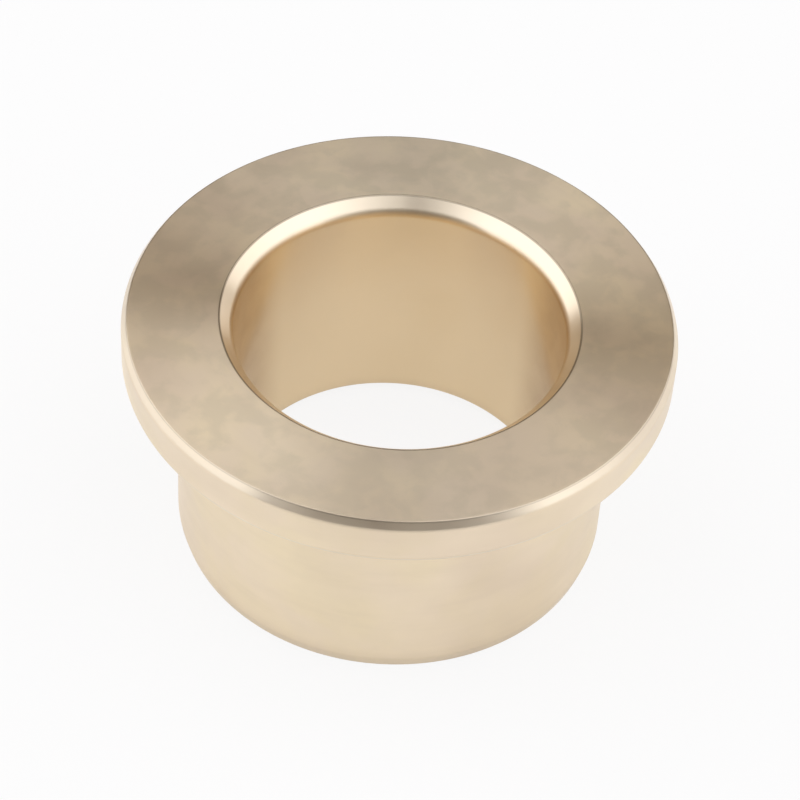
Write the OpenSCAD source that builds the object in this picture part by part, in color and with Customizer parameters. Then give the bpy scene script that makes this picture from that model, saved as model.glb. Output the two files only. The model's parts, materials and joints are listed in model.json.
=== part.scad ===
// Flanged plain bearing bush, turned from one bar of bronze.
// It stands on its barrel end: the origin is the centre of that end face,
// and +Z runs along the bore towards the flange.

/* [Barrel] */
// Outside diameter of the barrel, which is pressed into a housing
barrel_d = 40; // [30:0.5:46]
// Thickness of the wall between the barrel and the running bore
wall = 5; // [2:0.25:10]
// Length over all, from the barrel end to the flange face
bush_length = 25; // [12:0.5:60]
// Length of the tapered lead-in at the barrel end
lead_in_length = 1.15; // [0.3:0.05:3]
// Slope of the lead-in against the axis, in degrees
lead_in_angle = 15; // [5:1:30]

/* [Bore] */
// Width and depth of the 45 degree chamfer where the bore meets the flange face
bore_mouth_chamfer = 1.25; // [0.3:0.05:2.5]
// Width and depth of the 45 degree chamfer where the bore meets the barrel end
bore_foot_chamfer = 1.1; // [0.2:0.05:1.5]

/* [Flange] */
// Outside diameter of the flange
flange_d = 50; // [44:0.5:70]
// Thickness of the flange, from its seat to its face
flange_thickness = 5; // [2.5:0.25:9]
// Width of the bevel on both rims of the flange, measured along the radius
rim_bevel_width = 0.5; // [0.2:0.05:1]
// Height of the bevel on both rims of the flange, measured along the axis
rim_bevel_height = 0.8; // [0.2:0.05:1.1]
// Radius left by the tool in the corner between barrel and flange
corner_radius = 0.4; // [0.2:0.05:1]

/* [Hidden] */
// Every separate piece: the bush is a single turned part
bronze = [0.87, 0.78, 0.63];
turned_fn = 240;
corner_fn = 48;

barrel_r = barrel_d / 2;
// The running bore is what the wall leaves of the barrel: 30 mm across as drawn
bore_r = barrel_r - wall;
flange_r = flange_d / 2;
// Height of the flange seat, the face that stops against the housing
seat_z = bush_length - flange_thickness;
lead_in_depth = lead_in_length * tan(lead_in_angle);
// Overlap that lets cuts and joined outlines pass through each other's edges
overlap = 0.1;

// Outline of the barrel and flange, from the axis outwards
module blank_outline() {
    polygon([
        [0, 0],
        [barrel_r - lead_in_depth, 0],
        [barrel_r, lead_in_length],
        [barrel_r, seat_z],
        [flange_r - rim_bevel_width, seat_z],
        [flange_r, seat_z + rim_bevel_height],
        [flange_r, bush_length - rim_bevel_height],
        [flange_r - rim_bevel_width, bush_length],
        [0, bush_length]
    ]);
}

// Round corner between the barrel wall and the flange seat
module corner_outline() {
    corner_z = seat_z - corner_radius;
    difference() {
        translate([barrel_r - overlap, corner_z])
            square(corner_radius + overlap);
        translate([barrel_r + corner_radius, corner_z])
            circle(r = corner_radius, $fn = corner_fn);
    }
}

// Outline of the bore with a chamfer at each mouth, cut past both faces
module bore_outline() {
    polygon([
        [-overlap, -overlap],
        [bore_r + bore_foot_chamfer + overlap, -overlap],
        [bore_r, bore_foot_chamfer],
        [bore_r, bush_length - bore_mouth_chamfer],
        [bore_r + bore_mouth_chamfer + overlap, bush_length + overlap],
        [-overlap, bush_length + overlap]
    ]);
}

// The whole bush: one section turned about the bore's axis
module bushing() {
    color(bronze)
        rotate_extrude($fn = turned_fn)
            difference() {
                union() {
                    blank_outline();
                    corner_outline();
                }
                bore_outline();
            }
}

bushing();
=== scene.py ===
"""A flanged bearing bush of pale bronze, standing on the end of its barrel."""
import json
import math

import bmesh
import bpy
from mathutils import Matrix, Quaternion, Vector


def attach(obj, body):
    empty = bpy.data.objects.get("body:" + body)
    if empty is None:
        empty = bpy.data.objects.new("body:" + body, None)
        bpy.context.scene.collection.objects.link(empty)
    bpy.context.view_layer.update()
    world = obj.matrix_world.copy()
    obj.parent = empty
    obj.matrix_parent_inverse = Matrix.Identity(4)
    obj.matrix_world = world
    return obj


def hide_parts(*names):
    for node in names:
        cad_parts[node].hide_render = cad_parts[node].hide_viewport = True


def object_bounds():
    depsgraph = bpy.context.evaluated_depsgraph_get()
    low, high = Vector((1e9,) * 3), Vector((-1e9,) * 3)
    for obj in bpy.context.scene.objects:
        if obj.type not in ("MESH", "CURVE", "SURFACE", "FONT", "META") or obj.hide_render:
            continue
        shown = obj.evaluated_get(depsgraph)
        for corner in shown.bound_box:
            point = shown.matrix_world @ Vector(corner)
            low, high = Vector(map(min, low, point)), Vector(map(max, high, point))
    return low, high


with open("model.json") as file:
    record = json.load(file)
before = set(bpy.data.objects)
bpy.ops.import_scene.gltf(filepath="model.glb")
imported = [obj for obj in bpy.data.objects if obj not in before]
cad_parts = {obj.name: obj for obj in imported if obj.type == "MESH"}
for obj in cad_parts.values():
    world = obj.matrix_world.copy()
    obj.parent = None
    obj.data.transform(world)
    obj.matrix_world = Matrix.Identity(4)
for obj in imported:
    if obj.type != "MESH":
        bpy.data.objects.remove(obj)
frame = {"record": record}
cad_low, cad_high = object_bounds()


# Camera
# It stands close by with a long lens, looks down on the flange at 44 degrees
# and is tipped a little, so that the bush leans clockwise in the picture.
camera_elevation = math.radians(44.43)
camera_distance = 0.2715
camera_roll = math.radians(3.93)
camera_lens_mm = 136.4
flange_face_centre = Vector((0, 0, cad_high.z))
aim = Vector((0.00043, 0, 0.0143))

camera = bpy.data.objects.new("camera", bpy.data.cameras.new("camera"))
camera.data.lens = camera_lens_mm
camera.data.sensor_width = 36
camera.data.clip_start = 0.01
towards_camera = Vector((0, -math.cos(camera_elevation), math.sin(camera_elevation)))
camera.location = flange_face_centre + camera_distance * towards_camera
camera.rotation_mode = "QUATERNION"
level = (aim - camera.location).to_track_quat("-Z", "Y")
camera.rotation_quaternion = level @ Quaternion((0, 0, 1), camera_roll)
bpy.context.collection.objects.link(camera)
bpy.context.scene.camera = camera


# Bush
# One piece of cast bearing bronze. Barrel, flange and bore are turned in a
# lathe in one setting, and every corner is chamfered or broken with a tool.
mounts = {mount["name"]: mount for mount in frame["record"]["mounts"]}
bore_radius = mounts["bore"]["dims"]["r_mm"] / 1000
barrel_radius = mounts["housing_seat"]["dims"]["r_mm"] / 1000
seat_height = mounts["flange_seat"]["pos_m"][2]
flange_radius = cad_high.x
bush_length = cad_high.z
mouth_chamfer = 0.00125
foot_chamfer = 0.0011
lead_in_length = 0.00115
lead_in_depth = lead_in_length * math.tan(math.radians(15))
bevel_width = 0.0005
bevel_height = 0.0008
corner_radius = 0.0004
edge_break = 0.00006
worn_corner = 0.0002
bore_corner_radius = 0.0005
turned_steps = 384

# Radius and height of every corner, and the rounding that the tool leaves on it
section = [
    (bore_radius + foot_chamfer, 0, edge_break),
    (barrel_radius - lead_in_depth, 0, edge_break),
    (barrel_radius, lead_in_length, worn_corner),
    (barrel_radius, seat_height, corner_radius),
    (flange_radius - bevel_width, seat_height, worn_corner),
    (flange_radius, seat_height + bevel_height, worn_corner),
    (flange_radius, bush_length - bevel_height, worn_corner),
    (flange_radius - bevel_width, bush_length, edge_break),
    (bore_radius + mouth_chamfer, bush_length, edge_break),
    (bore_radius, bush_length - mouth_chamfer, bore_corner_radius),
    (bore_radius, foot_chamfer, edge_break),
]
turned = bmesh.new()
corners = [turned.verts.new((radius, 0, height)) for radius, height, rounding in section]
for corner, following in zip(corners, corners[1:] + corners[:1]):
    turned.edges.new((corner, following))
roundings = [rounding for radius, height, rounding in section]
for size in sorted(set(roundings)):
    bmesh.ops.bevel(
        turned, geom=[corner for corner, rounding in zip(corners, roundings) if rounding == size],
        offset=size, offset_type="OFFSET", affect="VERTICES",
        segments=3 if size == edge_break else 6, profile=0.5, material=-1,
    )
# A ring close to both ends of each face keeps the face's shading true
guard = 0.00012
for edge in [edge for edge in turned.edges if edge.calc_length() > 4 * guard]:
    for end in edge.verts[:]:
        share = guard / edge.calc_length()
        near, ring = bmesh.utils.edge_split(edge, end, share)
        edge = near if end not in near.verts else edge
outline = turned.verts[:] + turned.edges[:]
bmesh.ops.spin(
    turned, geom=outline, cent=(0, 0, 0), axis=(0, 0, 1), angle=math.tau,
    steps=turned_steps, use_merge=True,
)
bmesh.ops.recalc_face_normals(turned, faces=turned.faces)
for face in turned.faces:
    face.smooth = True
bush_mesh = bpy.data.meshes.new("turned_bush")
turned.to_mesh(bush_mesh)
turned.free()
bush = bpy.data.objects.new("turned_bush", bush_mesh)
bpy.context.collection.objects.link(bush)

bronze = bpy.data.materials.new("bearing_bronze")
bronze.use_nodes = True
nodes, links = bronze.node_tree.nodes, bronze.node_tree.links
metal = nodes["Principled BSDF"]
metal.inputs["Metallic"].default_value = 1
metal.inputs["Anisotropic"].default_value = 0.85
metal.inputs["Anisotropic Rotation"].default_value = 0.25
metal.inputs["Coat Weight"].default_value = 0.35
metal.inputs["Coat Roughness"].default_value = 0.25
grain = nodes.new("ShaderNodeTangent")
grain.direction_type = "RADIAL"
grain.axis = "Z"
links.new(grain.outputs["Tangent"], metal.inputs["Tangent"])


def reckon(operation, *terms):
    """A Math node. Each term is a number or the output of another node."""
    step = nodes.new("ShaderNodeMath")
    step.operation = operation
    for socket, term in zip(step.inputs, terms):
        if isinstance(term, (int, float)):
            socket.default_value = term
        else:
            links.new(term, socket)
    return step.outputs[0]


def fade(value, low, high, at_low=0, at_high=1):
    """Goes smoothly from one number to another while the value goes from low to high."""
    step = nodes.new("ShaderNodeMapRange")
    step.interpolation_type = "SMOOTHSTEP"
    step.inputs["From Min"].default_value = low
    step.inputs["From Max"].default_value = high
    step.inputs["To Min"].default_value = at_low
    step.inputs["To Max"].default_value = at_high
    links.new(value, step.inputs["Value"])
    return step.outputs[0]


# Where a point lies on the lathe: its radius, its height, its bearing and the way it faces
place = nodes.new("ShaderNodeTexCoord")
xyz = nodes.new("ShaderNodeSeparateXYZ")
flat = nodes.new("ShaderNodeCombineXYZ")
spoke = nodes.new("ShaderNodeVectorMath")
spoke.operation = "LENGTH"
bearing = nodes.new("ShaderNodeVectorMath")
bearing.operation = "NORMALIZE"
turn = nodes.new("ShaderNodeSeparateXYZ")
facing = nodes.new("ShaderNodeSeparateXYZ")
links.new(place.outputs["Object"], xyz.inputs[0])
links.new(xyz.outputs["X"], flat.inputs["X"])
links.new(xyz.outputs["Y"], flat.inputs["Y"])
links.new(flat.outputs[0], spoke.inputs[0])
links.new(flat.outputs[0], bearing.inputs[0])
links.new(bearing.outputs[0], turn.inputs[0])
links.new(place.outputs["Normal"], facing.inputs[0])
radius = spoke.outputs["Value"]
height = xyz.outputs["Z"]


def lathe_marks(pitch, waviness, detail):
    """Noise in rings about a pitch apart, that come and go along their length."""
    spot = nodes.new("ShaderNodeCombineXYZ")
    rings = nodes.new("ShaderNodeTexNoise")
    rings.noise_dimensions = "4D"
    rings.inputs["Scale"].default_value = 1
    rings.inputs["Detail"].default_value = detail
    links.new(reckon("DIVIDE", radius, pitch), spot.inputs["X"])
    links.new(reckon("DIVIDE", height, pitch), spot.inputs["Y"])
    links.new(reckon("MULTIPLY", turn.outputs["X"], waviness), spot.inputs["Z"])
    links.new(reckon("MULTIPLY", turn.outputs["Y"], waviness), rings.inputs["W"])
    links.new(spot.outputs[0], rings.inputs["Vector"])
    return rings.outputs["Fac"]


def patches(size, seed, detail, distortion=0):
    """Noise in patches of about this size in metres. The seed picks one of many such patterns."""
    cloud = nodes.new("ShaderNodeTexNoise")
    cloud.noise_dimensions = "4D"
    cloud.inputs["W"].default_value = seed
    cloud.inputs["Scale"].default_value = 1 / size
    cloud.inputs["Detail"].default_value = detail
    cloud.inputs["Distortion"].default_value = distortion
    links.new(place.outputs["Object"], cloud.inputs["Vector"])
    return cloud.outputs["Fac"]


def painted_dark_reflection(edge_radius):
    """One along a corner of the flange face, where a thin painted dark reflection darkens the metal.
    """
    off = reckon("ABSOLUTE", reckon("SUBTRACT", radius, edge_radius))
    near = fade(off, 0.00005, 0.00013, 1, 0)
    return reckon("MULTIPLY", near, fade(height, bush_length - 0.0003, bush_length - 0.0001))


def blend_colour(share, first, second):
    """Mixes two colours by a share of 0 to 1. The first may be another node's output."""
    mixed = nodes.new("ShaderNodeMix")
    mixed.data_type = "RGBA"
    links.new(share, mixed.inputs["Factor"])
    if isinstance(first, tuple):
        mixed.inputs["A"].default_value = (*first, 1)
    else:
        links.new(first, mixed.inputs["A"])
    mixed.inputs["B"].default_value = (*second, 1)
    return mixed.outputs["Result"]


# The faces are cut across the lathe and dull, the walls are finer, and the bore is honed
level = reckon("ABSOLUTE", facing.outputs["Z"])
faced = fade(level, 0.8, 1)
honed = fade(radius, bore_radius + 0.0001, bore_radius + 0.0004, 1, 0)

# Clean bronze runs from grey to yellow gold, and air and fingers have stained it in patches
grey_gold = (0.985, 0.84, 0.635)
yellow_gold = (0.99, 0.85, 0.605)
olive_spots = (0.80, 0.70, 0.51)
finger_stain = (0.72, 0.58, 0.44)
ring_shade = (0.74, 0.61, 0.45)
stain = patches(0.009, 1, 3, 0.6)
smear = patches(0.022, 21, 2, 0.4)
mottle = patches(0.0026, 5, 4, 0.3)
turned_rings = lathe_marks(0.0011, 2.5, 3)
spots = reckon("MULTIPLY", fade(mottle, 0.4, 0.62, 0, 0.5), fade(level, 0.8, 1, 0.15, 1))
colour = blend_colour(fade(stain, 0.35, 0.65), grey_gold, yellow_gold)
colour = blend_colour(spots, colour, olive_spots)
colour = blend_colour(fade(smear, 0.45, 0.72, 0, 0.5), colour, finger_stain)
colour = blend_colour(fade(turned_rings, 0.4, 0.8, 0, 0.12), colour, ring_shade)

# The honed bore is a deeper gold, with painted shade in brown blotches on its left and right
honed_gold = (0.995, 0.82, 0.55)
bore_side_shade_brown = (0.60, 0.43, 0.25)
# Painted shade: the bore's colour turns brown towards its left and right sides, broken up in
# blotches
shaded_sides = fade(reckon("ABSOLUTE", turn.outputs["X"]), 0.72, 0.97)
bore_side_shade = reckon("MULTIPLY", reckon("MULTIPLY", honed, shaded_sides), fade(mottle, 0.3, 0.7, 0.75, 0.9))
colour = blend_colour(reckon("MULTIPLY", honed, 0.9), colour, honed_gold)
colour = blend_colour(bore_side_shade, colour, bore_side_shade_brown)

# Painted shade darkens the foot, a painted highlight makes the bevels paler, and thin painted dark
# reflections edge the face
foot_shade_brown = (0.66, 0.52, 0.36)
bevel_highlight_cream = (0.99, 0.885, 0.71)
dark_reflection_brown = (0.20, 0.15, 0.10)
# Painted shade: the colour darkens towards the bottom of the barrel, in place of the shadowed floor
# that it mirrors there
painted_foot_shade = fade(height, 0.0004, 0.0024, 0.3, 0)
# Painted highlight: the bevels and chamfers are coloured paler and creamier, so that their
# highlights come out whiter
painted_bevel_highlight = reckon("MULTIPLY", fade(level, 0.25, 0.5), fade(level, 0.72, 0.85, 0.6, 0))
# Painted dark reflection: thin dark rings at the outer and inner edges of the flange face
outer_dark_reflection = reckon("MULTIPLY", painted_dark_reflection(flange_radius - bevel_width), 0.35)
inner_dark_reflection = reckon("MULTIPLY", painted_dark_reflection(bore_radius + mouth_chamfer), 0.65)
colour = blend_colour(painted_foot_shade, colour, foot_shade_brown)
colour = blend_colour(painted_bevel_highlight, colour, bevel_highlight_cream)
colour = blend_colour(reckon("MAXIMUM", outer_dark_reflection, inner_dark_reflection), colour, dark_reflection_brown)
links.new(colour, metal.inputs["Base Color"])

rough = reckon("MULTIPLY", faced, 0.08)
rough = reckon("ADD", rough, fade(stain, 0.3, 0.7, 0.285, 0.33))
links.new(rough, metal.inputs["Roughness"])

# The walls ripple very slightly, under the fine marks of the tool
fine_marks = lathe_marks(0.00018, 1.5, 2)
ripple = nodes.new("ShaderNodeBump")
ripple.inputs["Strength"].default_value = 0.5
ripple.inputs["Distance"].default_value = 0.00004
links.new(patches(0.014, 3, 1), ripple.inputs["Height"])
tooling = nodes.new("ShaderNodeBump")
tooling.inputs["Strength"].default_value = 0.12
tooling.inputs["Distance"].default_value = 0.00001
links.new(fine_marks, tooling.inputs["Height"])
links.new(ripple.outputs[0], tooling.inputs["Normal"])
links.new(tooling.outputs[0], metal.inputs["Normal"])
bush.data.materials.append(bronze)

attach(bush, "root")
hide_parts("bushing")


# Floor
# A plain sheet of white paper that the bush stands on. It keeps the soft shadow,
# and looks whiter to the camera, and a little whiter in the metal, than it is.
floor_reach = 3
paper_grey = 0.87
white_in_view = 0.86
white_in_metal = 0.32
sheet = bmesh.new()
bmesh.ops.create_grid(sheet, x_segments=1, y_segments=1, size=floor_reach)
floor_mesh = bpy.data.meshes.new("floor")
sheet.to_mesh(floor_mesh)
sheet.free()
floor = bpy.data.objects.new("floor", floor_mesh)
bpy.context.collection.objects.link(floor)
paper = bpy.data.materials.new("white_paper")
paper.use_nodes = True
nodes, links = paper.node_tree.nodes, paper.node_tree.links
nodes.remove(nodes["Principled BSDF"])
matt = nodes.new("ShaderNodeBsdfDiffuse")
matt.inputs["Color"].default_value = (paper_grey, paper_grey, paper_grey, 1)
white = nodes.new("ShaderNodeEmission")
white.inputs["Color"].default_value = (1, 1, 1, 1)
white.inputs["Strength"].default_value = 1
ray = nodes.new("ShaderNodeLightPath")
seen = nodes.new("ShaderNodeMath")
seen.operation = "MULTIPLY_ADD"
seen.inputs[1].default_value = white_in_view
mirrored = nodes.new("ShaderNodeMath")
mirrored.operation = "MULTIPLY"
mirrored.inputs[1].default_value = white_in_metal
blend = nodes.new("ShaderNodeMixShader")
links.new(ray.outputs["Is Glossy Ray"], mirrored.inputs[0])
links.new(ray.outputs["Is Camera Ray"], seen.inputs[0])
links.new(mirrored.outputs[0], seen.inputs[2])
links.new(seen.outputs[0], blend.inputs[0])
links.new(matt.outputs[0], blend.inputs[1])
links.new(white.outputs[0], blend.inputs[2])
links.new(blend.outputs[0], nodes["Material Output"].inputs["Surface"])
floor.data.materials.append(paper)


# Lights
# Two large soft boxes lean in over the bush from left and right, with a small
# lit card behind it. Between them the bronze mirrors a dim room, which is
# brown towards the camera and paler at the back and sides.
cool_white = (0.98, 1, 1.06)
front_brown = (0.08, 0.056, 0.034, 1)
room_dark = (0.115, 0.1, 0.082, 1)
room_tan = (0.22, 0.16, 0.105, 1)


def soft_box(name, bearing, elevation, distance, width, height, lean, radiance):
    """An area light that faces the bush. Bearing 0 is the camera's side, and 90 its right."""
    light = bpy.data.lights.new(name, "AREA")
    light.shape = "RECTANGLE"
    light.size = width
    light.size_y = height
    light.energy = radiance * math.pi * width * height
    light.color = cool_white
    lamp = bpy.data.objects.new(name, light)
    side, up = math.radians(bearing), math.radians(elevation)
    direction = Vector((math.sin(side) * math.cos(up), -math.cos(side) * math.cos(up), math.sin(up)))
    lamp.location = distance * direction
    lamp.rotation_mode = "QUATERNION"
    leaning = Quaternion((0, 0, 1), math.radians(lean))
    lamp.rotation_quaternion = direction.to_track_quat("Z", "Y") @ leaning
    lamp.visible_camera = False
    bpy.context.collection.objects.link(lamp)


soft_box("soft_box_right", 83, 47.8, 0.7, 1.24, 1.24, 10, 1.21)
soft_box("soft_box_left", -89.5, 46.8, 0.7, 1.29, 1.27, 5, 1.21)
soft_box("card_behind", 137, 6, 0.9, 0.35, 0.16, 0, 1.15)

world = bpy.data.worlds.new("room")
world.use_nodes = True
bpy.context.scene.world = world
nodes, links = world.node_tree.nodes, world.node_tree.links
where = nodes.new("ShaderNodeTexCoord")
across = nodes.new("ShaderNodeSeparateXYZ")
aside = nodes.new("ShaderNodeMath")
aside.operation = "ABSOLUTE"
shade = nodes.new("ShaderNodeValToRGB")
shade.color_ramp.interpolation = "EASE"
shade.color_ramp.elements[0].position = 0.08
shade.color_ramp.elements[0].color = room_dark
shade.color_ramp.elements[1].position = 0.23
shade.color_ramp.elements[1].color = room_tan
behind = nodes.new("ShaderNodeMapRange")
behind.inputs["From Min"].default_value = -0.6
behind.inputs["From Max"].default_value = 0.6
depth = nodes.new("ShaderNodeMix")
depth.data_type = "RGBA"
depth.inputs["A"].default_value = front_brown
room = nodes["Background"]
backdrop = nodes.new("ShaderNodeBackground")
backdrop.inputs["Color"].default_value = (1, 1, 1, 1)
ray = nodes.new("ShaderNodeLightPath")
choice = nodes.new("ShaderNodeMixShader")
links.new(where.outputs["Generated"], across.inputs[0])
links.new(across.outputs["X"], aside.inputs[0])
links.new(across.outputs["Y"], behind.inputs["Value"])
links.new(behind.outputs[0], depth.inputs["Factor"])
links.new(aside.outputs[0], shade.inputs[0])
links.new(shade.outputs[0], depth.inputs["B"])
links.new(depth.outputs["Result"], room.inputs["Color"])
links.new(ray.outputs["Is Camera Ray"], choice.inputs[0])
links.new(room.outputs[0], choice.inputs[1])
links.new(backdrop.outputs[0], choice.inputs[2])
links.new(choice.outputs[0], nodes["World Output"].inputs["Surface"])

bpy.context.scene.view_settings.view_transform = "Standard"
